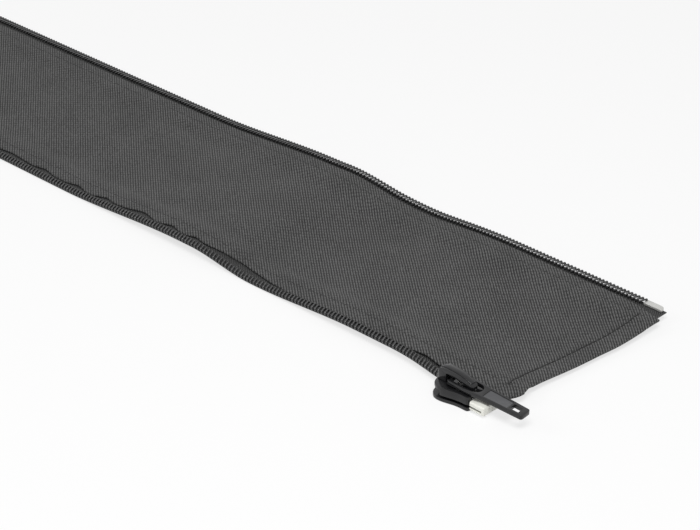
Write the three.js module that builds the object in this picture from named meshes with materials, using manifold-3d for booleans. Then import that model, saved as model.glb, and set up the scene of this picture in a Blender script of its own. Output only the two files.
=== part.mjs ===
// A zippered cable sleeve, open and lying flat: one woven panel between the two halves of an open-end coil zipper.
// +X runs to the end with the slider and the retainer box, +Y to the far edge and +Z up. Sizes are in millimetres,
// angles in degrees. The sleeve is drawn with its slider end at X = 0 and its middle line at Y = 0.
import * as THREE from "three";
import { mergeVertices } from "three/addons/utils/BufferGeometryUtils.js";
import Module from "manifold-3d";

const wasm = await Module();
wasm.setup();
const { degToRad, lerp, smoothstep } = THREE.MathUtils;

// Sleeve
const sleeveLength = 1000;
const tipToTip = 111; // between the tooth tips of the two zipper halves, which meet when the sleeve is closed
const fit = 0.25; // clearance between two pieces that touch

// Zipper tapes and coils
const tapeWidth = 14.5;
const tapeThickness = 0.45;
const coilOverhang = 1; // how far the tooth tips stand out past the tape's edge
const coilPitch = 2.1;
const coilWidth = 4.2;
const coilHeight = 2.1;
const toothDepth = 0.8; // how far the tips stand out between the gaps
const toothNotch = 0.9; // how deep the gaps are, seen from above

// Woven panel
const plyThickness = 0.4;
const plyGap = 0.25; // air between two plies of a hem
const foldInset = 7.7; // from the tooth tips in to the folded long edge
const foldWidth = 9; // how far the long edge is turned under
const foldRound = 0.4;
const hemWidth = 11; // how far the short ends are turned under
const hemRamp = 5; // length over which the top ply climbs onto the turned-under end
const tapeRamp = 9; // width over which the panel sinks from the tapes to the floor

// How the sleeve lies: distances back from the slider end
const rise = { height: 3.2, from: 158, to: 92 }; // the slider lifts this end of the sleeve
const hump = { height: 4.1, from: 292, crestStart: 208, crestEnd: 200, to: 160 };
const farDipFill = { height: 1.6, middle: 172, half: 40 }; // the far edge dips less than the near one
const middleSag = 0.35; // share of the lift that the middle of the panel loses

// Pins, box and stops at the ends of the zipper
const pinWidth = 3.4;
const pinArm = 0.3; // the leg that grips the tape from below
const pinTop = 1.2;
const pinNose = 2.6; // length of the rounded end
const nearEnd = 5.7; // the near half of the zipper stops this far short of the cloth
const coilEnd = 12; // from the end of each half back to its last tooth
const boxLength = 8.2;
const boxWidth = 9.5;
const boxWall = 0.7;
const boxFront = 1.2; // the closed wall that the pins stop against
const boxRound = 0.9;
const chainOverlap = 1; // how far closed tooth tips reach past each other
const stopLength = 3.4;
const stopHeight = 2;
const stopInset = 4; // from the end of the sleeve to the stops

// Slider
const sliderLength = 21;
const sliderYaw = 1; // the slider and the box stand turned outwards
const legAngle = 5.6; // between the slider's axis and the half zipper in its inner leg
const tailSplay = 5.9; // how far the near tooth tips stand out of line at the slider's tail
const bendFrom = 62; // distance ahead of the tail over which the near half bends out of line
const bendTo = 24;
const lowerBlade = 1.6;
const upperBlade = 1.4;
const lowerLip = 0.8; // the lower blade reaches this much further at the nose
const noseHalf = 7.3;
const tailHalf = 5.2;
const noseRound = 6.2;
const waist = 11; // length over which the blades narrow
const tailRound = 1.4;
const flangeWall = 0.9;
const flangeBack = 14.5; // length of the side flanges, from the tail
const diamondLength = 8.5;
const diamondHalf = 1.1;

// Slider cap and its lock spring
const capLength = 20.6;
const capWidth = 5;
const capTailWidth = 3.4;
const capShoulder = 6.4; // height of its long edges
const capTailHeight = 3.8;
const capFoot = 5.4;
const capRoof = 2;
const capEdge = 0.35;
const crownRise = 0.5; // of the raised middle over the long edges
const crownInset = 1;
const springWidth = 2;
const springThickness = 0.5;
const springTooth = 2.2; // from the middle of the slider back to the tooth
const springPlay = 0.1; // over the hinge bar
const springKnee = 0.3; // height of the tooth below its bend

// Pull tab
const hingeBack = 12.7; // from the slider's tail to the hinge bar
const hingeHeight = 2.4; // above the upper blade
const barRadius = 0.9;
const tabLength = 39; // from the hinge bar to the tip
const tabDroop = 3.4; // degrees that the tip hangs below the hinge
const tabYaw = 3.5; // play in the hinge lets the tab turn this far inwards
const tabRoll = 3; // and roll this far outwards
const tabThickness = 2;
const eyeWall = 1.3;
const eyePlay = 0.7; // each side of the cap, so that the turned and rolled tab clears it
const eyeEnd = 15.5;
const tabWaistAt = 18;
const tabWaistWidth = 7.4;
const tabTipWidth = 6.4;
const tabRound = 1.3;
const panelStart = 17.8;
const panelEnd = 30.6;
const panelRim = 0.9;
const panelDepth = 0.3;
const slotStart = 31.6;
const slotEnd = 36.1;
const slotRim = 1.6;

// Levels above the lowest point of the tapes, and places that follow from the sizes above
const coilBase = tapeThickness + fit;
const foldBase = tapeThickness + fit;
const plyBase = foldBase + plyThickness + plyGap;
const hemBase = plyThickness + plyGap;
const tapeRide = fit + pinArm + fit; // from the lower blade up to the tape
const channelHeight = tapeRide + coilBase + coilHeight + fit;
const sliderLevel = lowerBlade + tapeRide; // of the tape in the slider, above the floor
const tipY = tipToTip / 2;
const foldY = tipY - foldInset;
const tapeOuterY = tipY - coilOverhang;
const tapeInnerY = tapeOuterY - tapeWidth;
const sliderTailX = -(nearEnd + boxLength + fit);
const sliderTailY = -(tipY + tailSplay) + chainOverlap / 2;
const hemRoomY = tapeInnerY - 1.5;
const hingeX = sliderLength / 2 - hingeBack;
const seat = fit; // gap under the cap's feet
const pinLength = coilEnd - boxFront - 2 * fit;

// Colours as seen on the object
const finishes = {
  cloth: { color: 0x3a3937, roughness: 0.85, metalness: 0 },
  tape: { color: 0x222222, roughness: 0.9, metalness: 0 },
  coil: { color: 0x1b1b1c, roughness: 0.4, metalness: 0 },
  lacquer: { color: 0x2c2d2f, roughness: 0.32, metalness: 0.3 },
  spring: { color: 0x8a8a88, roughness: 0.35, metalness: 0.9 },
  box: { color: 0xe4e4d8, roughness: 0.35, metalness: 0.2 },
};

// Height of the tapes' underside above the floor. The panel's middle hangs lower than its edges.
function edgeLift(x) {
  const back = -x;
  const front = rise.height * (1 - smoothstep(back, rise.to, rise.from));
  const wave = smoothstep(back, hump.to, hump.crestEnd) * (1 - smoothstep(back, hump.crestStart, hump.from));
  return front + hump.height * wave;
}

function lie(x, y) {
  const across = Math.min(1, Math.abs(y) / tapeInnerY) ** 2;
  const offDip = Math.abs(-x - farDipFill.middle) / farDipFill.half;
  const fill = farDipFill.height * (1 - smoothstep(offDip, 0, 1)) * THREE.MathUtils.clamp(y / tapeInnerY, 0, 1);
  return edgeLift(x) * lerp(1 - middleSag, 1, across) + fill;
}

// How far the near half of the zipper stands out of line, and how far it hangs below the cloth's edge
function splay(x) {
  const ahead = sliderTailX - x;
  if (ahead < 0) return tailSplay - ahead * Math.tan(degToRad(sliderYaw));
  const inLeg = tailSplay - ahead * Math.tan(degToRad(sliderYaw + legAngle));
  return inLeg * (1 - smoothstep(ahead, bendTo, bendFrom));
}

function drop(x) {
  return (rise.height - sliderLevel) * (1 - smoothstep(sliderTailX - x, bendTo, bendFrom));
}

// Cross-sections along X, close together where the sleeve waves and where the near half bends
function stations(from, to, extra = []) {
  const places = [from, to, ...extra];
  for (let back = rise.to - 6; back <= hump.from + 8; back += 17) places.push(-back);
  return [...new Set(places)].filter((x) => x >= from && x <= to).sort((a, b) => a - b);
}

function bendStations() {
  return [sliderTailX, ...[0, 0.25, 0.5, 0.75, 1].map((share) => sliderTailX - lerp(bendTo, bendFrom, share))];
}

// Closed solid through a list of rings with the same number of points, capped at both ends
function loft(rings) {
  const points = rings.flat();
  const n = rings[0].length;
  const index = [];
  for (let r = 0; r + 1 < rings.length; r++) {
    for (let k = 0; k < n; k++) {
      const a = r * n + k;
      const b = r * n + ((k + 1) % n);
      index.push(a, b, a + n, b, b + n, a + n);
    }
  }
  const flat = (ring) => ring.map((p) => new THREE.Vector2(p.y, p.z));
  for (const [a, b, c] of THREE.ShapeUtils.triangulateShape(flat(rings[0]), [])) index.push(c, b, a);
  const last = (rings.length - 1) * n;
  for (const [a, b, c] of THREE.ShapeUtils.triangulateShape(flat(rings.at(-1)), [])) {
    index.push(last + a, last + b, last + c);
  }
  const geometry = new THREE.BufferGeometry().setFromPoints(points);
  geometry.setIndex(index);
  return geometry;
}

// A section of [y, height] points, counter-clockwise seen from +X, swept along the stations as the sleeve lies
function sweep(places, sectionAt) {
  return loft(places.map((x) => sectionAt(x).map(([y, z]) => new THREE.Vector3(x, y, z + lie(x, y)))));
}

// Moves a swept piece of the near half of the zipper to where the slider holds it
function bendNear(geometry) {
  const at = geometry.attributes.position;
  for (let i = 0; i < at.count; i++) {
    const x = at.getX(i);
    at.setXYZ(i, x, at.getY(i) - splay(x), at.getZ(i) - drop(x));
  }
  return geometry;
}

function toSolid(geometry) {
  const bare = geometry.index ? geometry.toNonIndexed() : geometry.clone();
  bare.deleteAttribute("normal");
  bare.deleteAttribute("uv");
  const merged = mergeVertices(bare, 1e-4);
  const vertProperties = new Float32Array(merged.attributes.position.array);
  return new wasm.Manifold(
    new wasm.Mesh({ numProp: 3, vertProperties, triVerts: new Uint32Array(merged.index.array) }),
  );
}

function toGeometry(solid) {
  const mesh = solid.getMesh();
  const geometry = new THREE.BufferGeometry();
  geometry.setAttribute("position", new THREE.BufferAttribute(new Float32Array(mesh.vertProperties), 3));
  geometry.setIndex([...mesh.triVerts]);
  return geometry;
}

function block([x0, x1], [y0, y1], [z0, z1]) {
  const box = new THREE.BoxGeometry(x1 - x0, y1 - y0, z1 - z0);
  return box.translate((x0 + x1) / 2, (y0 + y1) / 2, (z0 + z1) / 2);
}

// A shape drawn in XY, thickened from z0 to z1
function plate(shape, z0, z1, curveSegments = 6) {
  return new THREE.ExtrudeGeometry(shape, { depth: z1 - z0, bevelEnabled: false, curveSegments }).translate(0, 0, z0);
}

// A shape drawn in XZ, thickened across Y about its middle
function profile(shape, width, bevel = 0) {
  const options = { depth: width - 2 * bevel, bevelEnabled: bevel > 0, bevelSize: bevel, bevelThickness: bevel };
  const geometry = new THREE.ExtrudeGeometry(shape, { ...options, bevelOffset: -bevel, bevelSegments: 2, curveSegments: 6 });
  return geometry.translate(0, 0, -(width - 2 * bevel) / 2).rotateX(Math.PI / 2);
}

function piece(name, geometry, finish) {
  const mesh = new THREE.Mesh(geometry, new THREE.MeshStandardMaterial(finishes[finish]));
  mesh.name = name;
  return mesh;
}

// Tape, with the sign of the edge that it runs along: -1 near, +1 far
function tape(side, frontX) {
  const section = [
    [tapeInnerY, 0],
    [tapeOuterY, 0],
    [tapeOuterY, tapeThickness],
    [tapeInnerY, tapeThickness],
  ].map(([y, z]) => [side * y, z]);
  if (side < 0) section.reverse();
  const extra = side < 0 ? bendStations() : [];
  const strip = sweep(stations(-sleeveLength, frontX, extra), () => section);
  return side < 0 ? bendNear(strip) : strip;
}

// Triangles between two lines of points that run the same way along X
function between(left, right) {
  const triangles = [];
  let i = 0;
  let j = 0;
  while (i + 1 < left.length || j + 1 < right.length) {
    const stepLeft = j + 1 >= right.length || (i + 1 < left.length && left[i + 1].x <= right[j + 1].x);
    if (stepLeft) triangles.push(left[i], right[j], left[++i]);
    else triangles.push(left[i], right[j], right[++j]);
  }
  return triangles;
}

// Coil of one zipper half: a moulded row of teeth, ridged on top and knobbed at the tips
function coil(side, startX, endX) {
  const point = (x, y, z) => new THREE.Vector3(x, side * y, z + lie(x, side * y));
  const inner = tipY - coilWidth;
  const base = stations(startX, endX, side < 0 ? bendStations() : []);
  const count = Math.round((endX - startX) / coilPitch);
  const steps = Array.from({ length: 2 * count + 1 }, (_, k) => ({
    x: lerp(startX, endX, k / (2 * count)),
    crest: k % 2,
  }));
  const top = coilBase + coilHeight;
  const lines = [
    base.map((x) => point(x, inner, coilBase)),
    base.map((x) => point(x, tipY - toothDepth, coilBase)),
    steps.map(({ x, crest }) => point(x, tipY - (1 - crest) * toothDepth, top - 0.7 - (1 - crest) * toothNotch)),
    steps.map(({ x, crest }) => point(x, inner + 0.7, top - (1 - crest) * toothNotch)),
  ];
  const corners = lines.flatMap((line, k) => between(line, lines[(k + 1) % lines.length]));
  for (const [end, flip] of [[0, false], [-1, true]]) {
    const [a, b, c, d] = lines.map((line) => line.at(end));
    corners.push(...(flip ? [a, b, c, a, c, d] : [c, b, a, d, c, a]));
  }
  if (side < 0) corners.reverse();
  const row = new THREE.BufferGeometry().setFromPoints(corners);
  return side < 0 ? bendNear(row) : row;
}

// Height of the top ply's underside over the level where the sleeve lies
function plyHeight(x, y) {
  const overTape = smoothstep(Math.abs(y), tapeInnerY - tapeRamp, tapeInnerY);
  const fromEnd = Math.min(-x, sleeveLength + x);
  const overHem = 1 - smoothstep(fromEnd, hemWidth + fit, hemWidth + fit + hemRamp);
  return Math.max(plyBase * overTape, hemBase * overHem);
}

// One cloth: long edges folded under onto the tapes, short ends folded under as hems
function fabricPanel() {
  const middle = [0, 0.3, 0.6, 0.85].map((share) => share * hemRoomY);
  const rampEnd = foldY - foldWidth - plyGap;
  const inside = [...middle, hemRoomY, lerp(hemRoomY, rampEnd, 0.5), rampEnd, foldY - 2 * foldRound];
  const half = (x, side) => {
    const top = inside.map((y) => [side * y, plyHeight(x, side * y) + plyThickness]);
    const under = inside.map((y) => [side * y, plyHeight(x, side * y)]);
    const nose = [
      [side * foldY, plyBase + plyThickness - foldRound],
      [side * foldY, foldBase + foldRound],
      [side * (foldY - foldRound), foldBase],
      [side * (foldY - foldWidth), foldBase],
      [side * (foldY - foldWidth), foldBase + plyThickness],
      [side * (foldY - 2 * foldRound), foldBase + plyThickness],
    ];
    return [...top, ...nose, ...under.reverse()];
  };
  const section = (x) => {
    const near = half(x, -1).slice(1, -1);
    const far = half(x, 1);
    return [...near, ...far.reverse()];
  };
  const ends = [hemWidth + fit, hemWidth + fit + hemRamp / 2, hemWidth + fit + hemRamp, 40];
  const extra = ends.flatMap((back) => [-back, back - sleeveLength]);
  let solid = toSolid(sweep(stations(-sleeveLength, 0, extra), section));
  const hemYs = [...middle, hemRoomY];
  const across = [...hemYs.slice(1).reverse().map((y) => -y), ...hemYs];
  const hemSection = (top) => () => [
    ...across.map((y) => [y, 0]),
    ...across.toReversed().map((y) => [y, top]),
  ];
  for (const end of [0, -sleeveLength]) {
    const inward = end === 0 ? -1 : 1;
    const span = (length) => [end, end + inward * length].sort((a, b) => a - b);
    solid = solid.add(toSolid(sweep(span(hemWidth), hemSection(plyThickness))));
    solid = solid.add(toSolid(sweep(span(plyThickness), hemSection(hemBase + plyThickness / 2))));
  }
  return toGeometry(solid);
}

// Metal pin crimped round a tape's edge, with its free end rounded. The tooth tips are at Y = 0, the tape towards -Y
// and the end of the half zipper at X = 0.
function pin() {
  const outline = new THREE.Shape();
  outline.moveTo(-pinLength, -pinWidth);
  outline.lineTo(0, -pinWidth);
  outline.lineTo(0, -pinWidth + 1);
  outline.quadraticCurveTo(-0.4, -0.2, -pinNose, 0);
  outline.lineTo(-pinLength, 0);
  const body = plate(outline, -fit - pinArm, coilBase + pinTop).translate(-(boxFront + fit), 0, 0);
  const groove = block([-coilEnd - 1, 1], [-pinWidth - 1, -coilOverhang + fit], [-fit, coilBase]);
  return toGeometry(toSolid(body).subtract(toSolid(groove)));
}

// The same piece for the other edge
function mirrored(geometry) {
  geometry.applyMatrix4(new THREE.Matrix4().makeScale(1, -1, 1));
  const index = geometry.index.array;
  for (let i = 0; i < index.length; i += 3) [index[i], index[i + 1]] = [index[i + 1], index[i]];
  return geometry;
}

// Box at the end of the near half: it holds the near pin and takes the far one when the sleeve is closed.
// Its front face is at X = 0 and the slider's axis at Y = 0.
function retainerBox() {
  const cavity = [-fit - pinArm - fit, coilBase + pinTop + fit];
  const outer = [cavity[0] - boxWall, cavity[1] + boxWall];
  const half = boxWidth / 2;
  const height = outer[1] - outer[0];
  const end = new THREE.Shape();
  end.moveTo(-half + boxRound, 0);
  end.lineTo(half - boxRound, 0);
  end.absarc(half - boxRound, boxRound, boxRound, -Math.PI / 2, 0);
  end.absarc(half - boxRound, height - boxRound, boxRound, 0, Math.PI / 2);
  end.absarc(-half + boxRound, height - boxRound, boxRound, Math.PI / 2, Math.PI);
  end.absarc(-half + boxRound, boxRound, boxRound, Math.PI, 1.5 * Math.PI);
  const shell = new THREE.ExtrudeGeometry(end, {
    depth: boxLength - boxRound,
    bevelThickness: boxRound / 2,
    bevelSize: boxRound / 2,
    bevelOffset: -boxRound / 2,
    bevelSegments: 2,
    curveSegments: 3,
  });
  shell.translate(0, 0, boxRound / 2 - boxLength).rotateX(Math.PI / 2).rotateZ(Math.PI / 2);
  shell.translate(0, 0, outer[0]);
  const socket = block([-boxLength - 1, -boxFront], [-half + boxWall, half - boxWall], cavity);
  const slot = block([-boxLength - 1, -boxFront], [-half - 1, half + 1], [-fit, coilBase]);
  return toGeometry(toSolid(shell).subtract(toSolid(socket)).subtract(toSolid(slot)));
}

// Clip over the edge of a tape at the hidden end, which keeps the slider on
function topStop(side) {
  const outer = tipY;
  const inner = tipY - coilWidth;
  const x = stopInset - sleeveLength;
  const clip = toSolid(block([x, x + stopLength], [inner, outer], [0, stopHeight + coilBase]));
  const groove = block([x - 1, x + stopLength + 1], [inner - 1, tapeOuterY + fit], [-1, coilBase]);
  const geometry = toGeometry(clip.subtract(toSolid(groove)));
  return side < 0 ? mirrored(geometry) : geometry;
}

// Half width of a slider blade at a distance from its nose
function bladeHalf(fromNose, length) {
  const nose = Math.sqrt(Math.max(0, 1 - Math.max(0, 1 - fromNose / noseRound) ** 2.6));
  const body = lerp(noseHalf, tailHalf, smoothstep(fromNose, noseRound, noseRound + waist));
  const fromTail = length - fromNose;
  const corner = fromTail < tailRound ? tailRound - Math.sqrt(tailRound ** 2 - (tailRound - fromTail) ** 2) : 0;
  return body * nose - corner;
}

// Outline of a blade, drawn in with the nose at -X, its sides moved in by an inset and its tail out by a reach
function bladeShape(nose, inset = 0, reach = 0) {
  const length = sliderLength / 2 - nose;
  const shares = [0, 0.012, 0.04, 0.09, 0.16, 0.25, 0.34, 0.42, 0.5, 0.58, 0.66, 0.8, 0.93, 0.96, 0.985, 1];
  const side = shares.map((share) => new THREE.Vector2(nose + share * length, bladeHalf(share * length, length)));
  if (inset) side.forEach((p) => (p.y = Math.max(0.2, bladeHalf(Math.min(p.x - nose, length - tailRound), length) - inset)));
  if (reach) side.push(new THREE.Vector2(sliderLength / 2 + reach, side.at(-1).y));
  const mirrored = side.toReversed().map((p) => new THREE.Vector2(p.x, -p.y));
  return new THREE.Shape([...mirrored, ...side.filter((p) => p.y > 0)].reverse());
}

// Slider casting: two blades joined by the wedge that parts the teeth, with flanges that guide them
function sliderBody() {
  const tail = sliderLength / 2;
  const lower = toSolid(plate(bladeShape(-tail - lowerLip), -lowerBlade, 0));
  const upper = toSolid(plate(bladeShape(-tail), channelHeight, channelHeight + upperBlade));
  const slotTop = tapeRide + tapeThickness + fit;
  const rim = toSolid(plate(bladeShape(-tail), slotTop, channelHeight + upperBlade / 2));
  const hollow = toSolid(plate(bladeShape(-tail, flangeWall, 1), slotTop - 1, channelHeight + upperBlade));
  const flangeSpan = toSolid(block([tail - flangeBack, tail], [-noseHalf, noseHalf], [0, channelHeight + 1]));
  const flanges = rim.subtract(hollow).intersect(flangeSpan);
  const wedge = new THREE.Shape();
  wedge.moveTo(-tail + diamondLength, 0);
  wedge.quadraticCurveTo(-tail + diamondLength / 2, diamondHalf, -tail + 1.6, diamondHalf);
  wedge.quadraticCurveTo(-tail + 0.5, diamondHalf, -tail + 0.5, 0);
  wedge.quadraticCurveTo(-tail + 0.5, -diamondHalf, -tail + 1.6, -diamondHalf);
  wedge.quadraticCurveTo(-tail + diamondLength / 2, -diamondHalf, -tail + diamondLength, 0);
  const diamond = toSolid(plate(wedge, -lowerBlade / 2, channelHeight + upperBlade / 2));
  return toGeometry(lower.add(upper).add(flanges).add(diamond));
}

// Side view of the cap, its long edges raised by a rise
function capSide(raise) {
  const nose = -capLength / 2;
  const tail = capLength / 2;
  const top = capShoulder + raise;
  const side = new THREE.Shape();
  side.moveTo(nose, 0);
  side.bezierCurveTo(nose - 0.1, top * 0.8, nose + 0.9, top * 0.97, nose + 5, top);
  side.bezierCurveTo(nose + 11, top * 1.03, tail - 5.5, top * 0.92, tail - 0.8, capTailHeight + raise);
  side.quadraticCurveTo(tail, (capTailHeight + raise) * 0.8, tail, 0);
  return side;
}

// Hooded cap over the hinge bar, with its foot at the nose and its tail closing down onto the blade
function sliderCap() {
  const nose = -capLength / 2;
  const tail = capLength / 2;
  const plan = new THREE.Shape();
  plan.moveTo(nose, -capWidth / 4);
  plan.quadraticCurveTo(nose, -capWidth / 2, nose + 1.6, -capWidth / 2);
  plan.lineTo(0, -capWidth / 2);
  plan.quadraticCurveTo(tail - 3, -capWidth / 2 + 0.1, tail - 0.8, -capTailWidth / 2);
  plan.quadraticCurveTo(tail, -capTailWidth / 2 + 0.3, tail, 0);
  const edge = plan.getPoints(4);
  const outline = new THREE.Shape([...edge, ...edge.slice(0, -1).reverse().map((p) => new THREE.Vector2(p.x, -p.y))]);
  const window = new THREE.Path();
  const roofAt = capShoulder - capRoof;
  window.moveTo(nose + capFoot, -1);
  window.lineTo(nose + capFoot, roofAt - 0.6);
  window.quadraticCurveTo(nose + capFoot, roofAt, nose + capFoot + 1, roofAt);
  window.bezierCurveTo(0, roofAt, tail - 5, roofAt * 0.9, tail - 1, 0.3);
  window.lineTo(tail - 1, -1);
  const hood = toSolid(profile(capSide(0), capWidth + 1, capEdge)).intersect(toSolid(plate(outline, -1, capShoulder * 2)));
  const crown = toSolid(profile(capSide(crownRise), capWidth - 2 * crownInset, capEdge));
  const opening = toSolid(profile(new THREE.Shape(window.getPoints(6)), capWidth * 2));
  const crownSpan = toSolid(block([nose, tail - 1.5], [-capWidth, capWidth], [0, capShoulder * 2]));
  return toGeometry(hood.add(crown.intersect(crownSpan)).subtract(opening));
}

// Leaf spring under the roof of the cap, bent down at its rear as the locking tooth
function lockSpring() {
  const front = -capLength / 2 + capFoot + fit;
  const level = hingeHeight + barRadius + fit - seat + springPlay;
  const bend = hingeX + barRadius + fit;
  const leaf = new THREE.Shape();
  leaf.moveTo(front, level);
  leaf.lineTo(bend, level);
  leaf.lineTo(springTooth, springThickness + fit + springKnee);
  leaf.lineTo(springTooth, fit);
  leaf.lineTo(springTooth + springThickness, fit);
  leaf.lineTo(springTooth + springThickness, springThickness + fit + springKnee);
  leaf.lineTo(bend + springThickness / 2, level + springThickness);
  leaf.lineTo(front, level + springThickness);
  return profile(leaf, springWidth);
}

// Pull tab along +X from its hinge bar: a long eye round the cap, a recessed field and a slot at the tip
function pullTab() {
  const eyeWidth = capWidth + 2 * eyePlay;
  const headHalf = eyeWidth / 2 + eyeWall;
  const outline = new THREE.Shape();
  outline.moveTo(-barRadius, -headHalf + 1);
  outline.quadraticCurveTo(-barRadius, -headHalf, barRadius, -headHalf);
  outline.lineTo(eyeEnd - 3, -headHalf);
  outline.lineTo(tabWaistAt, -tabWaistWidth / 2);
  outline.lineTo(tabLength - tabRound, -tabTipWidth / 2);
  outline.quadraticCurveTo(tabLength, -tabTipWidth / 2, tabLength, -tabTipWidth / 2 + tabRound);
  const mirrored = outline.getPoints(4).toReversed().map((p) => new THREE.Vector2(p.x, -p.y));
  const body = toSolid(plate(new THREE.Shape([...outline.getPoints(4), ...mirrored]), -tabThickness / 2, tabThickness / 2));
  const eye = new THREE.Shape();
  eye.moveTo(barRadius, -eyeWidth / 2);
  eye.lineTo(eyeEnd - eyeWidth / 2, -eyeWidth / 2);
  eye.absarc(eyeEnd - eyeWidth / 2, 0, eyeWidth / 2, -Math.PI / 2, Math.PI / 2);
  eye.lineTo(barRadius, eyeWidth / 2);
  const rimAt = (x, rim) => lerp(tabWaistWidth, tabTipWidth, (x - tabWaistAt) / (tabLength - tabWaistAt)) / 2 - rim;
  const field = (start, end, rim) =>
    new THREE.Shape([
      new THREE.Vector2(start, -rimAt(start, rim)),
      new THREE.Vector2(end, -rimAt(end, rim)),
      new THREE.Vector2(end, rimAt(end, rim)),
      new THREE.Vector2(start, rimAt(start, rim)),
    ]);
  let solid = body.subtract(toSolid(plate(eye, -tabThickness, tabThickness)));
  solid = solid.subtract(toSolid(plate(field(slotStart, slotEnd, slotRim), -tabThickness, tabThickness)));
  for (const level of [tabThickness / 2, -tabThickness / 2]) {
    solid = solid.subtract(toSolid(plate(field(panelStart, panelEnd, panelRim), level - panelDepth, level + panelDepth)));
  }
  const bar = block([-barRadius * 2, barRadius * 1.6], [-eyeWidth / 2 - 0.1, eyeWidth / 2 + 0.1], [-tabThickness, tabThickness]);
  const round = new THREE.CylinderGeometry(barRadius, barRadius, eyeWidth + 0.4, 12);
  return toGeometry(solid.subtract(toSolid(bar)).add(toSolid(round)));
}

// Slider with its cap, spring and tab, centred on the middle of its blades
function slider() {
  const group = new THREE.Group();
  group.position.set(-sliderLength / 2, 0, lowerBlade - sliderLevel);
  const deck = channelHeight + upperBlade;
  const cap = piece("slider_cap", sliderCap().translate(0, 0, deck + seat), "lacquer");
  const spring = piece("lock_spring", lockSpring().translate(0, 0, deck + seat), "spring");
  const tab = piece("pull_tab", pullTab(), "lacquer");
  tab.position.set(hingeX, 0, deck + hingeHeight);
  tab.rotation.set(degToRad(tabRoll), degToRad(tabDroop), degToRad(tabYaw), "ZYX");
  group.add(piece("slider_body", sliderBody(), "lacquer"), cap, spring, tab);
  return group;
}

// Closed end of the near half: slider, box and pin on one axis, with the slider's tail at X = 0 and the tape at Z = 0
function nearEndGroup() {
  const group = new THREE.Group();
  group.position.set(sliderTailX, sliderTailY, sliderLevel);
  group.rotation.z = -degToRad(sliderYaw);
  const box = piece("retainer_box", retainerBox(), "box");
  const nearPin = piece("near_pin", mirrored(pin()), "box");
  box.position.x = fit + boxLength;
  nearPin.position.set(fit + boxLength, -chainOverlap / 2, 0);
  group.add(slider(), box, nearPin);
  return group;
}

const sleeve = new THREE.Group();
const coilStart = stopInset + stopLength + fit - sleeveLength;
sleeve.add(
  piece("fabric_panel", fabricPanel(), "cloth"),
  piece("near_tape", tape(-1, -(nearEnd + boxFront + fit)), "tape"),
  piece("far_tape", tape(1, -fit), "tape"),
  piece("near_coil", coil(-1, coilStart, -(nearEnd + coilEnd)), "coil"),
  piece("far_coil", coil(1, coilStart, -coilEnd), "coil"),
  piece("far_pin", pin().translate(0, tipY, rise.height), "box"),
  piece("near_top_stop", topStop(-1), "lacquer"),
  piece("far_top_stop", topStop(1), "lacquer"),
  nearEndGroup(),
);

// The origin is the bottom centre of the whole
const bounds = new THREE.Box3().setFromObject(sleeve);
const centre = bounds.getCenter(new THREE.Vector3());
sleeve.position.set(-centre.x, -centre.y, -bounds.min.z);

export default sleeve;
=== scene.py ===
import math

import bmesh
import bpy
import numpy as np
from mathutils import Matrix, Vector


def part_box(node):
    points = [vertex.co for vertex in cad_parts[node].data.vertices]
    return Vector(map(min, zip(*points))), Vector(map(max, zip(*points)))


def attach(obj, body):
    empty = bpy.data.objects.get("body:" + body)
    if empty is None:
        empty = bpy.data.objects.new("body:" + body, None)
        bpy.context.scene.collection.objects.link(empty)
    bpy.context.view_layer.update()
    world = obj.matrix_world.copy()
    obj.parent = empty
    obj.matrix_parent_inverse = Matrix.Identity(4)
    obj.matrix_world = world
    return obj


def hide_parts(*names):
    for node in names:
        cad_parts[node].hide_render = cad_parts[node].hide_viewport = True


# A zippered cable sleeve, open and lying flat. The cloth, tapes, coils and threads are made in the sleeve's
# own millimetres (X = 0 at the end with the slider, Y = 0 on its middle line) and moved to the frame's metres.
# The metal parts are rounded copies of the frame's own solids.

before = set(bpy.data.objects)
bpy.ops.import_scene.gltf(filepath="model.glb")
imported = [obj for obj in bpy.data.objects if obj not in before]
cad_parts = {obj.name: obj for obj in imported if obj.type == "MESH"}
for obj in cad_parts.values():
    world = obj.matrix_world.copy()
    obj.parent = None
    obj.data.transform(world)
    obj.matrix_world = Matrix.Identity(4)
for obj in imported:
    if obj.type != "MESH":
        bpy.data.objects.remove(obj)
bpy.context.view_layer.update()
mm = 0.001

zipper = {
    "length": 1000,
    "tipY": 55.5,        # middle line of the sleeve to the tooth tips
    "tapeOuter": 54.5,
    "tapeInner": 40,
    "tapeThick": 0.45,
    "coilBase": 0.7,     # underside of the coils over the underside of the tapes
    "pitch": 2.1,
    "coilWidth": 4.2,
    "coilHeight": 2.1,
}
sleeveOrigin = Vector((
    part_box("fabric_panel")[1].x,
    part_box("far_coil")[1].y - zipper["tipY"] * mm,
    0,
))


def toFrame(points):
    return np.asarray(points, float).reshape(-1, 3) * mm + np.array(sleeveOrigin)


# How the sleeve lies, in distances back from the slider end
lay = {
    "rise": (3.2, 92, 158),               # height, and where it starts and ends
    "hump": (4.1, 160, 200, 208, 292),
    "farDipFill": (1.6, 172, 40),
    "middleSag": 0.35,
    "tailX": -14.15,                      # slider's tail
    "tailSplay": 5.9,
    "yaw": 1,
    "legAngle": 5.6,
    "bend": (24, 62),
    "sliderLevel": 2.4,
}


def smooth(x, low, high):
    t = np.clip((np.asarray(x, float) - low) / (high - low), 0, 1)
    return t * t * (3 - 2 * t)


def edgeLift(x):
    back = -np.asarray(x, float)
    height, to, start = lay["rise"]
    front = height * (1 - smooth(back, to, start))
    height, to, crestEnd, crestStart, start = lay["hump"]
    return front + height * smooth(back, to, crestEnd) * (1 - smooth(back, crestStart, start))


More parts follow.
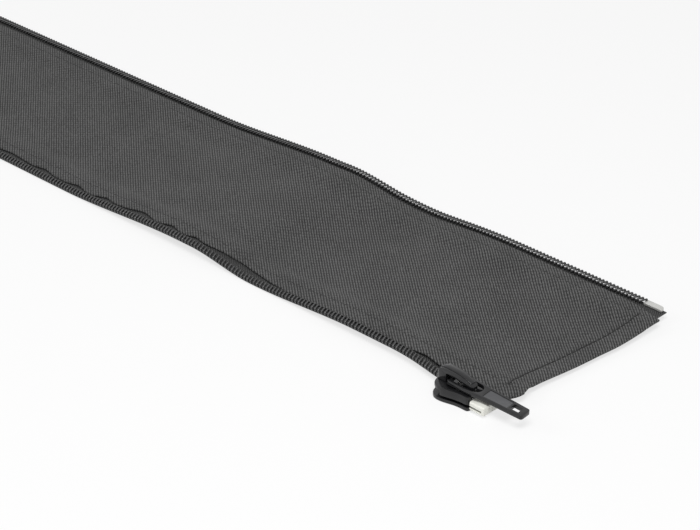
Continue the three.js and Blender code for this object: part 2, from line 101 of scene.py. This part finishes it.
def lie(x, y):
    x, y = np.broadcast_arrays(np.asarray(x, float), np.asarray(y, float))
    across = np.minimum(1, np.abs(y) / zipper["tapeInner"]) ** 2
    height, middle, half = lay["farDipFill"]
    fill = height * (1 - smooth(np.abs(-x - middle) / half, 0, 1)) * np.clip(y / zipper["tapeInner"], 0, 1)
    return edgeLift(x) * (1 - lay["middleSag"] * (1 - across)) + fill


# The near half of the zipper stands out of line near the slider, and hangs below the cloth's edge
def bendNear(points):
    at = np.array(points, float)
    ahead = lay["tailX"] - at[..., 0]
    low, high = lay["bend"]
    yaw = math.radians(lay["yaw"])
    inLeg = lay["tailSplay"] - ahead * math.tan(yaw + math.radians(lay["legAngle"]))
    eased = 1 - smooth(ahead, low, high)
    splay = np.where(ahead < 0, lay["tailSplay"] - ahead * math.tan(yaw), inLeg * eased)
    at[..., 1] -= splay
    at[..., 2] -= (lay["rise"][0] - lay["sliderLevel"]) * eased
    return at


def meshObject(name, verts, faces, material, body="sleeve", flat=False):
    mesh = bpy.data.meshes.new(name)
    mesh.from_pydata([tuple(v) for v in verts], [], faces)
    mesh.polygons.foreach_set("use_smooth", [not flat] * len(mesh.polygons))
    mesh.update()
    made = bpy.data.objects.new(name, mesh)
    bpy.context.scene.collection.objects.link(made)
    made.data.materials.append(material)
    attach(made, body)
    return made


def gridFaces(rows, columns, closed=False):
    faces = []
    span = columns if closed else columns - 1
    for r in range(rows - 1):
        for c in range(span):
            d = (c + 1) % columns
            faces.append((r * columns + c, r * columns + d, (r + 1) * columns + d, (r + 1) * columns + c))
    return faces


# A tube along a path of points. Its section is an ellipse: half width along X, and half thickness across it.
def tube(path, halfWidth, halfThick, sides, across=(1, 0, 0)):
    path = np.asarray(path, float)
    along = np.gradient(path, axis=0)
    along /= np.linalg.norm(along, axis=1)[:, None]
    side = np.array(across, float) - along * (along @ np.array(across, float))[:, None]
    side /= np.linalg.norm(side, axis=1)[:, None]
    up = np.cross(along, side)
    angle = np.linspace(0, 2 * math.pi, sides, endpoint=False)
    width = np.broadcast_to(halfWidth, len(path))[:, None, None]
    thick = np.broadcast_to(halfThick, len(path))[:, None, None]
    wide = side[:, None] * np.cos(angle)[None, :, None] * width
    high = up[:, None] * np.sin(angle)[None, :, None] * thick
    ring = wide + high
    verts = (path[:, None] + ring).reshape(-1, 3)
    faces = gridFaces(len(path), sides, closed=True)
    last = (len(path) - 1) * sides
    faces.append(tuple(range(sides))[::-1])
    faces.append(tuple(range(last, last + sides)))
    return verts, faces


def joined(parts):
    verts, faces, start = [], [], 0
    for v, f in parts:
        verts.append(np.asarray(v))
        faces += [tuple(i + start for i in face) for face in f]
        start += len(v)
    return np.concatenate(verts), faces


def newMaterial(name, **sockets):
    material = bpy.data.materials.new(name)
    material.use_nodes = True
    shader = material.node_tree.nodes["Principled BSDF"]
    for key, value in sockets.items():
        shader.inputs[key.replace("_", " ")].default_value = value
    return material, material.node_tree.nodes, material.node_tree.links, shader


def mathNode(nodes, links, operation, a, b=None, clamp=False):
    node = nodes.new("ShaderNodeMath")
    node.operation = operation
    node.use_clamp = clamp
    for slotIndex, value in enumerate((a, b)):
        if value is None:
            continue
        if isinstance(value, (int, float)):
            node.inputs[slotIndex].default_value = value
        else:
            links.new(value, node.inputs[slotIndex])
    return node.outputs[0]


def noiseNode(nodes, links, vector, scale, detail=2, roughness=0.5):
    node = nodes.new("ShaderNodeTexNoise")
    node.inputs["Scale"].default_value = scale
    node.inputs["Detail"].default_value = detail
    node.inputs["Roughness"].default_value = roughness
    links.new(vector, node.inputs["Vector"])
    return node.outputs["Fac"]


def rampNode(nodes, links, value, stops):
    node = nodes.new("ShaderNodeValToRGB")
    ramp = node.color_ramp
    while len(ramp.elements) < len(stops):
        ramp.elements.new(0.5)
    for element, (position, colour) in zip(ramp.elements, stops):
        element.position = position
        element.color = (*colour, 1)
    links.new(value, node.inputs[0])
    return node.outputs[0]


def bumpNode(nodes, links, height, shader, strength, distance):
    node = nodes.new("ShaderNodeBump")
    node.inputs["Strength"].default_value = strength
    node.inputs["Distance"].default_value = distance
    links.new(height, node.inputs["Height"])
    links.new(node.outputs[0], shader.inputs["Normal"])


def scaled(nodes, links, value, factor, offset):
    node = nodes.new("ShaderNodeMath")
    node.operation = "MULTIPLY_ADD"
    links.new(value, node.inputs[0])
    node.inputs[1].default_value = factor
    node.inputs[2].default_value = offset
    return node.outputs[0]


# Sine wave from 0 to 1 across a direction in the XY plane, with a pitch in metres
def stripes(nodes, links, vector, angle, pitch, wander=None):
    dot = nodes.new("ShaderNodeVectorMath")
    dot.operation = "DOT_PRODUCT"
    links.new(vector, dot.inputs[0])
    a = math.radians(angle)
    k = 2 * math.pi / pitch
    dot.inputs[1].default_value = (math.cos(a) * k, math.sin(a) * k, 0)
    phase = dot.outputs["Value"]
    if wander is not None:
        phase = mathNode(nodes, links, "ADD", phase, wander)
    return scaled(nodes, links, mathNode(nodes, links, "SINE", phase), 0.5, 0.5)


twill = {
    "ribAngle": 49.3,      # direction across the ribs, from +X
    "ribPitch": 1.24 * mm,
    "floatAngle": -46,     # direction from one float to the next along a rib
    "floatPitch": 2.5 * mm,
    "yarnPitch": 0.63 * mm,
    "dark": (0.013, 0.013, 0.013),
    "mid": (0.058, 0.058, 0.058),
    "light": (0.150, 0.150, 0.149),
}


def clothMaterial():
    material, nodes, links, shader = newMaterial(
        "wovenCloth", Roughness=0.85, Sheen_Weight=0.08, Sheen_Roughness=0.5, Specular_IOR_Level=0.25)
    place = nodes.new("ShaderNodeTexCoord").outputs["Object"]
    drift = mathNode(nodes, links, "MULTIPLY", noiseNode(nodes, links, place, 160, 2), 2.0)
    rib = stripes(nodes, links, place, twill["ribAngle"], twill["ribPitch"], drift)
    yarn = stripes(nodes, links, place, 4, twill["yarnPitch"], drift)
    floats = stripes(nodes, links, place, twill["floatAngle"], twill["floatPitch"], drift)
    crossYarns = scaled(nodes, links, yarn, 0.4, 0)
    yarn = mathNode(nodes, links, "ADD", crossYarns, scaled(nodes, links, floats, 0.6, 0))
    fuzz = noiseNode(nodes, links, place, 1300, 3, 0.75)
    patch = noiseNode(nodes, links, place, 45, 3)
    height = mathNode(nodes, links, "MULTIPLY", rib, scaled(nodes, links, yarn, 0.55, 0.5))
    tone = mathNode(nodes, links, "ADD", height, scaled(nodes, links, fuzz, 1.8, -0.9))
    tone = mathNode(nodes, links, "ADD", tone, scaled(nodes, links, patch, 0.3, -0.12))
    greys = [(0.05, twill["dark"]), (0.42, twill["mid"]), (0.95, twill["light"])]
    colour = rampNode(nodes, links, tone, greys)
    links.new(colour, shader.inputs["Base Color"])
    bumpNode(nodes, links, height, shader, 0.75, 0.00024)
    return material


def tapeMaterial():
    material, nodes, links, shader = newMaterial("wovenTape", Roughness=0.8, Sheen_Weight=0.04)
    place = nodes.new("ShaderNodeTexCoord").outputs["Object"]
    one = stripes(nodes, links, place, 45, 0.85 * mm)
    two = stripes(nodes, links, place, -45, 0.85 * mm)
    weave = mathNode(nodes, links, "MULTIPLY", one, two)
    fuzz = noiseNode(nodes, links, place, 1500, 2, 0.7)
    tone = mathNode(nodes, links, "ADD", weave, mathNode(nodes, links, "MULTIPLY", fuzz, 0.25))
    greys = [(0.2, (0.006, 0.006, 0.006)), (0.66, (0.014, 0.014, 0.014)), (0.95, (0.14, 0.14, 0.14))]
    colour = rampNode(nodes, links, tone, greys)
    links.new(colour, shader.inputs["Base Color"])
    bumpNode(nodes, links, weave, shader, 0.8, 0.0002)
    return material


def plainMaterial(name, dark, light, roughness, spread=0.08, scale=220, **sockets):
    material, nodes, links, shader = newMaterial(name, **sockets)
    place = nodes.new("ShaderNodeTexCoord").outputs["Object"]
    patch = noiseNode(nodes, links, place, scale, 4, 0.6)
    links.new(rampNode(nodes, links, patch, [(0.3, dark), (0.7, light)]), shader.inputs["Base Color"])
    links.new(scaled(nodes, links, patch, spread, roughness - spread / 2), shader.inputs["Roughness"])
    bumpNode(nodes, links, noiseNode(nodes, links, place, scale * 12, 2), shader, 0.12, 0.00004)
    return material


clothFinish = clothMaterial()
tapeFinish = tapeMaterial()
coilFinish = plainMaterial("coilNylon", (0.018, 0.018, 0.018), (0.034, 0.034, 0.035), 0.3, IOR=1.58)
threadFinish = plainMaterial(
    "sewingThread", (0.004, 0.004, 0.004), (0.012, 0.012, 0.012), 0.8, scale=900)
seamFinish = plainMaterial(
    "seamThread", (0.016, 0.016, 0.016), (0.034, 0.034, 0.034), 0.8, scale=900)
coilThreadFinish = plainMaterial(
    "coilThread", (0.010, 0.010, 0.010), (0.075, 0.075, 0.073), 0.6, scale=700)
lacquerFinish = plainMaterial(
    "blackLacquer", (0.007, 0.007, 0.008), (0.013, 0.013, 0.014), 0.17, Specular_IOR_Level=0.4)
# painted sheen: the tab field's lighter grey stands for light reflected by the same black lacquer; only its
# higher roughness is a real difference
fieldPaintedSheenFinish = plainMaterial("tabFieldPaintedSheen", (0.058, 0.059, 0.063), (0.072, 0.073, 0.078), 0.42)
springFinish = plainMaterial(
    "springSteel", (0.30, 0.30, 0.29), (0.42, 0.42, 0.41), 0.34, Metallic=1.0)
boxFinish = plainMaterial("ivoryBox", (0.80, 0.80, 0.73), (0.90, 0.90, 0.84), 0.32, scale=120)
pinFinish = plainMaterial(
    "paleMetal", (0.50, 0.50, 0.48), (0.62, 0.62, 0.60), 0.30, scale=160, Metallic=0.35)
print("materials made")

cloth = {
    "thick": 0.4,
    "foldWidth": 9,
    "foldRadius": 0.325,
    "hemWidth": 11,
    "hemRadius": 0.325,
    "hemRamp": (11.25, 16.25),   # where the cloth comes down off the hem
    "hemStitch": 9.3,
    "overTape": 1.35,    # underside of the top ply over the tapes, and over the hems
    "overHem": 0.65,
    "tapeRamp": 9,
    "grooveDepth": 0.36,
    "grooveHalf": 0.7,
    "edgeDrop": 0.3,     # the short ends slope down to their rolled edge
    "edgeSlope": (0.2, 2.4),
    "stepShown": 1.25,
    "stepHidden": 4,
    "shownTo": -345,
}


# From the tooth tips in to the folded long edges, by distance back from the slider end. The near edge (-1) is
# scalloped where the cloth pulls back between its stitches, and comes close to the slider at its end.
foldLine = {
    -1: [(0, 3.9), (36, 3.7), (44, 3.9), (49, 5.2), (54, 6.2), (60, 5.0), (66, 4.6), (110, 4.8), (135, 5.0),
         (150, 6.4), (160, 8.2), (172, 9.2), (184, 8.2), (194, 6.3), (198, 6.2), (202, 8.0), (208, 5.5),
         (213, 5.5), (219, 8.3), (226, 5.6), (231, 5.7), (236, 8.0), (242, 8.9), (252, 6.5), (260, 6.2),
         (268, 8.6), (275, 5.8), (281, 5.7), (289, 8.5), (296, 5.9), (305, 6.0), (314, 8.3), (322, 6.2),
         (340, 8.0), (352, 6.3), (1000, 7.7)],
    1: [(0, 9.6), (6, 8.8), (14, 6.4), (24, 5.7), (60, 5.9), (95, 5.5), (140, 6.0), (180, 5.4), (230, 5.9),
        (290, 5.5), (340, 6.2), (1000, 7.7)],
}


def foldInset(x, side):
    back = -np.asarray(x, float)
    known = np.array(foldLine[side])
    spread = [np.interp(back + shift, known[:, 0], known[:, 1]) for shift in (-2, -1, 0, 1, 2)]
    return np.mean(spread, axis=0)


# The front edge is bowed, and its near corner is pulled back: how far out it lies, by place across the sleeve
frontEdge = [(-53, -6), (-50, -4), (-46, -2.4), (-42, -2.2), (-38, -3.8), (-30, -3.6), (-22.6, -2.8),
             (-8.9, -1.1), (5.6, 0.2), (17.3, 1.7), (27, 2.1), (48, 2.3), (56, 2.3)]
bowFadesAt = 45


def bowEnd(x, y):
    known = np.array(frontEdge)
    across = np.asarray(y, float)
    spread = [np.interp(across + shift, known[:, 0], known[:, 1]) for shift in (-1.5, -0.5, 0.5, 1.5)]
    return x + np.mean(spread, axis=0) * (1 - smooth(-np.asarray(x, float), 0, bowFadesAt))


# Underside of the top ply over the underside of the tapes
def plyHeight(x, y):
    x, y = np.broadcast_arrays(np.asarray(x, float), np.asarray(y, float))
    fromEnd = np.minimum(-x, zipper["length"] + x)
    groove = cloth["grooveDepth"] * np.exp(-((fromEnd - cloth["hemStitch"]) / cloth["grooveHalf"]) ** 2)
    inner = zipper["tapeInner"]
    overTape = cloth["overTape"] * smooth(np.abs(y), inner - cloth["tapeRamp"], inner)
    overHem = cloth["overHem"] * (1 - smooth(fromEnd, *cloth["hemRamp"]))
    drop = cloth["edgeDrop"] * (1 - smooth(fromEnd, *cloth["edgeSlope"]))
    return np.maximum(overTape, overHem) - groove - drop


# Rows of the panel: close together at the end with the slider, and at the stitches and edges of the hems
def clothStations():
    shown = np.arange(cloth["shownTo"], 0, cloth["stepShown"])
    hidden = np.arange(-zipper["length"], cloth["shownTo"], cloth["stepHidden"])
    atStitch = cloth["hemStitch"] + np.arange(-1.4, 1.5, 0.35)
    atEnd = np.concatenate([atStitch, [0.3, 0.7, 1.1, 1.6, 2, 2.4, 16.25]])
    places = np.concatenate([hidden, shown, [0], -atEnd, atEnd - zipper["length"]])
    return np.unique(np.round(places, 2))


def wovenPanel():
    places = clothStations()
    r = cloth["foldRadius"]
    halfThick = cloth["thick"] / 2
    turn = np.linspace(0, math.pi, 8)
    rows = []
    inner = np.concatenate([np.linspace(0, zipper["tapeInner"], 29)[1:], [41.5, 43, 44.5]])
    for x in places:
        row = []
        for side in (-1, 1):
            foldAt = zipper["tipY"] - float(foldInset(x, side))
            top = [(y, plyHeight(x, y) + halfThick) for y in inner]
            mid = float(plyHeight(x, zipper["tapeOuter"])) + halfThick
            arc = [(foldAt - r - halfThick + r * math.sin(t), mid - r + r * math.cos(t)) for t in turn]
            under = [(y, mid - 2 * r) for y in np.linspace(foldAt - 1.5, foldAt - cloth["foldWidth"], 7)]
            line = [(0, plyHeight(x, 0) + halfThick)] + top + arc + under
            line = [(side * y, float(z)) for y, z in line]
            row.append(line)
        half = row[0][::-1][:-1] + row[1]
        rows.append([(x, y, z + float(lie(x, y))) for y, z in half])
    grid = np.array(rows)
    grid[..., 0] = bowEnd(grid[..., 0], grid[..., 1])
    verts = toFrame(grid.reshape(-1, 3))
    made = meshObject("wovenPanel", verts, gridFaces(grid.shape[0], grid.shape[1]), clothFinish)
    thicken = made.modifiers.new("thickness", "SOLIDIFY")
    thicken.thickness = cloth["thick"] * mm
    thicken.offset = 0
    return made


def applied(made):
    graph = bpy.context.evaluated_depsgraph_get()
    graph.update()
    mesh = bpy.data.meshes.new_from_object(made.evaluated_get(graph))
    made.modifiers.clear()
    made.data = mesh
    return made


# The turned-under ply of a short end, joined to the top ply by its rolled edge
def hemPly(name, end):
    inward = -1 if end == 0 else 1
    halfThick = cloth["thick"] / 2
    foldEdge = zipper["tipY"] - cloth["foldRadius"]
    corners = [side * (foldEdge - float(foldInset(end, side))) for side in (-1, 1)]
    ys = np.linspace(*corners, 78)
    top = plyHeight(end, ys) + halfThick
    low = top + cloth["edgeDrop"] - 2 * cloth["hemRadius"]
    r = (top - low) / 2
    # short where it runs under the folded long edges
    reach = cloth["hemWidth"] * (1 - 0.9 * smooth(np.abs(ys), 36, 39))
    rows = []
    for t in np.linspace(0, math.pi, 7):
        out = end + inward * (halfThick + r * (1 - math.sin(t)))
        rows.append(np.stack([out, ys, top - r + r * math.cos(t)], 1))
    for share in np.linspace(0.08, 1, 8):
        rows.append(np.stack([end + inward * (0.5 + reach * share), ys, low], 1))
    grid = np.array(rows)
    grid[..., 2] += lie(np.clip(grid[..., 0], -zipper["length"], 0), grid[..., 1])
    grid[..., 0] = bowEnd(grid[..., 0], grid[..., 1])
    faces = gridFaces(grid.shape[0], grid.shape[1])
    made = meshObject(name, toFrame(grid), faces, clothFinish)
    thicken = made.modifiers.new("thickness", "SOLIDIFY")
    thicken.thickness = cloth["thick"] * mm
    thicken.offset = 0
    return applied(made)


panel = applied(wovenPanel())
frontHem = hemPly("frontHem", 0)
rearHem = hemPly("rearHem", -zipper["length"])
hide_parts("fabric_panel")
print("cloth made")


def tapeStrip(name, side, frontX, node):
    places = np.concatenate([np.arange(-zipper["length"], -340, 6), np.arange(-340, frontX - 1, 2), [frontX]])
    ys = np.linspace(zipper["tapeInner"], zipper["tapeOuter"], 7)
    outline = [(y, 0) for y in ys] + [(y, zipper["tapeThick"]) for y in ys[::-1]]
    rows = [[(x, side * y, z + float(lie(x, side * y))) for y, z in outline] for x in places]
    grid = np.array(rows)
    if side < 0:   # stiffened where the box grips it
        inBox = smooth(grid[..., 0], -15, -14) * smooth(-grid[..., 1], 47, 49)
        upper = np.arange(len(outline)) >= len(ys)
        grid[..., 2] += np.where(upper, 0.2, -0.2) * inBox
        grid = bendNear(grid)
    faces = gridFaces(grid.shape[0], grid.shape[1], closed=True)
    last = (grid.shape[0] - 1) * grid.shape[1]
    faces.append(tuple(range(grid.shape[1]))[::-1])
    faces.append(tuple(range(last, last + grid.shape[1])))
    made = meshObject(name, toFrame(grid), faces, tapeFinish, flat=True)
    fixNormals(made)
    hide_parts(node)
    return made


def fixNormals(made):
    work = bmesh.new()
    work.from_mesh(made.data)
    bmesh.ops.recalc_face_normals(work, faces=work.faces)
    work.to_mesh(made.data)
    work.free()


coil = {
    "filament": 0.48,      # half width of the wound filament
    "flatness": 0.92,
    "headSpread": 1.35,    # the heads are pressed wider
    "lean": 0.42,          # how far the top legs run along the zipper, in pitches
    "sides": 7,
    "thread": 0.17,        # half width of the thread that sews the coil down
    "threadWave": 0.22,
}


def coilPath(side, startX, endX):
    turns = int(round((endX - startX) / zipper["pitch"]))
    pitch = (endX - startX) / turns
    low = zipper["coilBase"] + coil["filament"]
    high = zipper["coilBase"] + zipper["coilHeight"] - coil["filament"]
    middle = (low + high) / 2
    inner = zipper["tipY"] - zipper["coilWidth"]
    tip = zipper["tipY"]
    lean = coil["lean"]
    # Share of a turn along X, then Y and Z, and how far the filament is spread
    loop = [
        (0.00, inner + 0.95, low, 0.8),
        (0.02, inner + 2.0, low, 0.8),
        (0.03, tip - 1.25, low, 0.9),
        (0.04, tip - 0.62, low + 0.02, 1.25),
        (0.05, tip - 0.40, middle, coil["headSpread"]),
        (0.06, tip - 0.62, high - 0.02, 1.25),
        (0.10, tip - 1.25, high + 0.03, 1.05),
        (0.10 + lean * 0.5, inner + 1.9, high + 0.04, 1),
        (0.10 + lean, inner + 0.95, high, 1),
        (0.68, inner + 0.46, high - 0.3, 0.92),
        (0.84, inner + 0.40, low + 0.25, 0.92),
        (0.95, inner + 0.55, low, 0.95),
    ]
    path, spread = [], []
    for turn in range(turns):
        for share, y, z, wide in loop:
            path.append((endX - (turn + share) * pitch, side * y, z))
            spread.append(wide)
    path = np.array(path)
    path[:, 2] += lie(path[:, 0], path[:, 1])
    if side < 0:
        path = bendNear(path)
    return path, np.array(spread)


def coilRow(name, side, startX, endX, node):
    path, spread = coilPath(side, startX, endX)
    half = coil["filament"]
    verts, faces = tube(path, half * spread, half * coil["flatness"], coil["sides"])
    made = meshObject(name, toFrame(verts), faces, coilFinish)
    fixNormals(made)
    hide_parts(node)
    return made


# Two rows of thread that sew a coil down: over each turn, and down between the turns
def coilThreads(name, side, startX, endX, insets):
    parts = []
    turns = int(round((endX - startX) / zipper["pitch"]))
    top = zipper["coilBase"] + zipper["coilHeight"]
    for inset in insets:
        k = np.arange(turns * 8 + 1) / 8
        x = startX + k * (endX - startX) / turns
        z = top - 0.12 + coil["threadWave"] * np.cos(2 * math.pi * (k - 0.2)) - 0.1
        y = side * (zipper["tipY"] - inset + 0.08 * np.sin(2 * math.pi * k))
        path = np.stack([x, y, z + lie(x, y)], 1)
        if side < 0:
            path = bendNear(path)
        parts.append(tube(path, coil["thread"], coil["thread"], 5, across=(0, 1, 0)))
    verts, faces = joined(parts)
    made = meshObject(name, toFrame(verts), faces, coilThreadFinish)
    fixNormals(made)
    return made


# Where the coils and tapes end along the sleeve
ends = {"rear": 7.65 - 1000, "near": -17.7, "far": -12, "nearTape": -7.15, "farTape": -0.25}
nearTape = tapeStrip("nearTape", -1, ends["nearTape"], "near_tape")
farTape = tapeStrip("farTape", 1, ends["farTape"], "far_tape")
coilRow("nearCoil", -1, ends["rear"], ends["near"], "near_coil")
coilRow("farCoil", 1, ends["rear"], ends["far"], "far_coil")
coilThreads("nearCoilThread", -1, ends["rear"], ends["near"], (3.5,))
coilThreads("farCoilThread", 1, ends["rear"], ends["far"], (2.1, 3.3))
print("zipper halves made")


# A solid of the frame with rounded edges
def roundedCopy(name, node, body, finish, width, segments=3):
    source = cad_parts[node]
    mesh = source.data.copy()
    made = bpy.data.objects.new(name, mesh)
    bpy.context.scene.collection.objects.link(made)
    mesh.materials.clear()
    mesh.materials.append(finish)
    work = bmesh.new()
    work.from_mesh(mesh)
    bmesh.ops.remove_doubles(work, verts=work.verts, dist=1e-6)
    bmesh.ops.dissolve_limit(work, angle_limit=math.radians(4), verts=work.verts, edges=work.edges)
    work.to_mesh(mesh)
    work.free()
    bevel = made.modifiers.new("edges", "BEVEL")
    bevel.width = width * mm
    bevel.segments = segments
    bevel.limit_method = "ANGLE"
    bevel.angle_limit = math.radians(40)
    mesh.polygons.foreach_set("use_smooth", [True] * len(mesh.polygons))
    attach(made, body)
    applied(made)
    made.data.polygons.foreach_set("use_smooth", [True] * len(made.data.polygons))
    made.data.set_sharp_from_angle(angle=math.radians(35))
    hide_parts(node)
    return made


roundedCopy("sliderBody", "slider_body", "slider", lacquerFinish, 0.4)
roundedCopy("sliderCap", "slider_cap", "slider", lacquerFinish, 0.42)
roundedCopy("lockSpring", "lock_spring", "slider", springFinish, 0.08)
pullTab = roundedCopy("pullTab", "pull_tab", "tab", lacquerFinish, 0.3)
roundedCopy("retainerBox", "retainer_box", "sleeve", boxFinish, 0.15)
roundedCopy("nearPin", "near_pin", "sleeve", pinFinish, 0.2)
roundedCopy("farPin", "far_pin", "sleeve", pinFinish, 0.45)
roundedCopy("nearTopStop", "near_top_stop", "sleeve", lacquerFinish, 0.2)
roundedCopy("farTopStop", "far_top_stop", "sleeve", lacquerFinish, 0.2)


# The sunk field of the tab has a rougher finish than its rim, and a lighter grey that is painted sheen: it
# stands for the light that the same black lacquer reflects there
def giveFieldPaintedSheen(made, shares=(0.42, 0.84), sunk=0.12):
    mesh = made.data
    mesh.materials.append(fieldPaintedSheenFinish)
    toWorld = made.matrix_world
    flat = [f for f in mesh.polygons if f.normal.z > 0.97]
    up = sum((f.normal * f.area for f in flat), Vector()).normalized()
    heights = {f.index: up.dot(f.center) / mm for f in flat if f.normal.dot(up) > 0.995}
    level = max(heights.values())
    low, high = (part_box("pull_tab")[k].x for k in (0, 1))
    for index, height in heights.items():
        share = ((toWorld @ mesh.polygons[index].center).x - low) / (high - low)
        if shares[0] < share < shares[1] and height < level - sunk:
            mesh.polygons[index].material_index = 1


giveFieldPaintedSheen(pullTab)
print("metal parts made")


seam = {
    "inset": 12.7,       # from the tooth tips to the long seams
    "pitch": 2.6,
    "stitch": 2.1,
    "half": 0.2,
    "hemPitch": 3.2,
    "hemStitch": 2.5,
    "hemHalf": 0.48,
}


# A row of short stitches lying on the cloth along a list of points
def stitchRow(points, pitch, length, half):
    points = np.asarray(points, float)
    gaps = np.linalg.norm(np.diff(points, axis=0), axis=1)
    at = np.concatenate([[0], np.cumsum(gaps)])
    parts = []
    for start in np.arange(pitch, at[-1] - pitch, pitch):
        s = np.linspace(start, start + length, 6)
        path = np.stack([np.interp(s, at, points[:, k]) for k in range(3)], 1)
        path[:, 2] += np.array([-0.22, 0.02, 0.1, 0.1, 0.02, -0.22])
        direction = path[-1] - path[0]
        across = (-direction[1], direction[0], 0)
        parts.append(tube(path, half * np.array([0.7, 1, 1, 1, 1, 0.7]), half, 5, across=across))
    return joined(parts)


def topAt(x, y):
    return lie(x, y) + plyHeight(x, y) + cloth["thick"]


def sewing():
    for name, side in (("nearSeam", -1), ("farSeam", 1)):
        x = np.linspace(-996, -3, 700)
        y = np.full_like(x, side * (zipper["tipY"] - seam["inset"]))
        line = np.stack([bowEnd(x, y), y, topAt(x, y) - 0.05], 1)
        verts, faces = stitchRow(line, seam["pitch"], seam["stitch"], seam["half"])
        made = meshObject(name, toFrame(verts), faces, seamFinish)
        fixNormals(made)
    hems = {"frontHemSeam": -cloth["hemStitch"], "rearHemSeam": cloth["hemStitch"] - zipper["length"]}
    for name, at in hems.items():
        y = np.linspace(-46, 45, 140)
        x = np.full_like(y, at)
        line = np.stack([bowEnd(x, y), y, topAt(x, y)], 1)
        verts, faces = stitchRow(line, seam["hemPitch"], seam["hemStitch"], seam["hemHalf"])
        made = meshObject(name, toFrame(verts), faces, threadFinish)
        fixNormals(made)


sewing()
print("sewing made")

stage = {
    "focal": 128.6,
    "azimuth": 43.667,
    "elevation": 29.791,
    "roll": 0.152,
    "distance": 1.173,
    "target": (-134.1, -13.6, 3.2),
    "floor": (0.96, 0.96, 0.96),
    "floorGlow": 0.7,     # share of plain white that the camera sees in the floor
    "world": 0.35,
}


# 1 for the rays that see the plain background: those of the camera, of reflections and through clear things
def seenRays(nodes, links):
    rays = nodes.new("ShaderNodeLightPath").outputs
    shown = mathNode(nodes, links, "ADD", rays["Is Camera Ray"], rays["Is Glossy Ray"])
    return mathNode(nodes, links, "ADD", shown, rays["Is Transmission Ray"], clamp=True)


def floorPiece():
    mesh = bpy.data.meshes.new("floor")
    size = 6
    corners = [(-size, -size, 0), (size, -size, 0), (size, size, 0), (-size, size, 0)]
    mesh.from_pydata(corners, [], [(0, 1, 2, 3)])
    made = bpy.data.objects.new("floor", mesh)
    bpy.context.scene.collection.objects.link(made)
    made.location.z = -0.0002
    material, nodes, links, shader = newMaterial("paleFloor", Roughness=0.9)
    shader.inputs["Base Color"].default_value = (*stage["floor"], 1)
    shader.inputs["Specular IOR Level"].default_value = 0.1
    glow = nodes.new("ShaderNodeEmission")
    mix = nodes.new("ShaderNodeMixShader")
    links.new(scaled(nodes, links, seenRays(nodes, links), stage["floorGlow"], 0), mix.inputs[0])
    links.new(shader.outputs[0], mix.inputs[1])
    links.new(glow.outputs[0], mix.inputs[2])
    links.new(mix.outputs[0], nodes["Material Output"].inputs["Surface"])
    mesh.materials.append(material)


def areaLight(name, place, size, power, aim=(0.3, 0, 0)):
    data = bpy.data.lights.new(name, "AREA")
    data.shape = "RECTANGLE"
    data.size, data.size_y = size
    data.energy = power
    made = bpy.data.objects.new(name, data)
    bpy.context.scene.collection.objects.link(made)
    made.location = place
    made.rotation_euler = (Vector(aim) - Vector(place)).to_track_quat("-Z", "Y").to_euler()


def lighting():
    world = bpy.data.worlds.new("studio")
    bpy.context.scene.world = world
    world.use_nodes = True
    nodes, links = world.node_tree.nodes, world.node_tree.links
    background = nodes["Background"]
    background.inputs["Color"].default_value = (1, 1, 1, 1)
    background.inputs["Strength"].default_value = stage["world"]
    shown = nodes.new("ShaderNodeBackground")
    shown.inputs["Color"].default_value = (1, 1, 1, 1)
    shown.inputs["Strength"].default_value = 1
    mix = nodes.new("ShaderNodeMixShader")
    links.new(seenRays(nodes, links), mix.inputs[0])
    links.new(background.outputs[0], mix.inputs[1])
    links.new(shown.outputs[0], mix.inputs[2])
    links.new(mix.outputs[0], nodes["World Output"].inputs["Surface"])
    areaLight("topLight", (0.85, -0.5, 1.4), (1.0, 0.6), 15.5)
    areaLight("leftLight", (-0.9, -1.1, 0.9), (0.8, 0.8), 4.5)


def cameraPiece():
    az, el = math.radians(stage["azimuth"]), math.radians(stage["elevation"])
    back = Vector((math.sin(az) * math.cos(el), -math.cos(az) * math.cos(el), math.sin(el)))
    target = Vector(toFrame([stage["target"]])[0])
    data = bpy.data.cameras.new("camera")
    data.lens = stage["focal"]
    data.sensor_width = 36
    data.clip_start, data.clip_end = 0.05, 50
    made = bpy.data.objects.new("camera", data)
    bpy.context.scene.collection.objects.link(made)
    made.rotation_mode = "QUATERNION"
    roll = Matrix.Rotation(math.radians(stage["roll"]), 3, "Z")
    turned = (-back).to_track_quat("-Z", "Y").to_matrix() @ roll
    made.location = target + back * stage["distance"]
    made.rotation_quaternion = turned.to_quaternion()
    bpy.context.scene.camera = made


floorPiece()
lighting()
cameraPiece()
bpy.context.scene.view_settings.view_transform = "Standard"
print("stage made")
